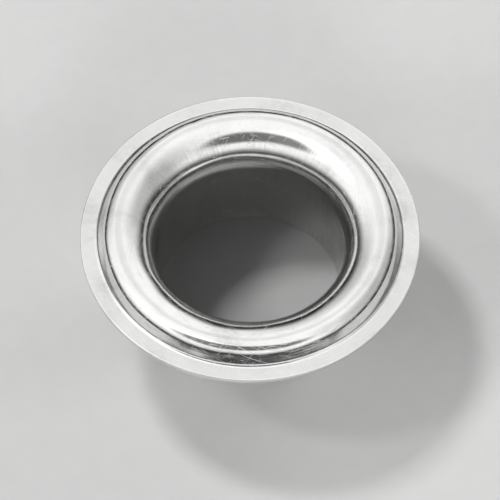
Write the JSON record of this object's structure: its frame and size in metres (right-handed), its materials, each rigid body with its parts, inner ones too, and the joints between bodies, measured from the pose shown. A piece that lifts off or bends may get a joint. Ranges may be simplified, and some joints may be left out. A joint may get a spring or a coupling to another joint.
{
  "type": "grommet eyelet",
  "caption": "Round metal eyelet with a raised bead, a flat outer lip and a short barrel that is set through cloth or sheet to line a hole.",
  "frame": {"origin": "centre of the barrel's cut end, on the plane the eyelet stands on", "axes": "+Z along the axis of the hole, from the cut end of the barrel towards the flange; X and Y are free, because the eyelet is round"},
  "size_m": [0.018, 0.018, 0.0065],
  "materials": {
    "nickel_plate": "bright nickel plate over drawn brass sheet, with fine rubbing marks from loose packing"
  },
  "bodies": {
    "root": {"eyelet": "nickel_plate"}
  },
  "joints": []
}
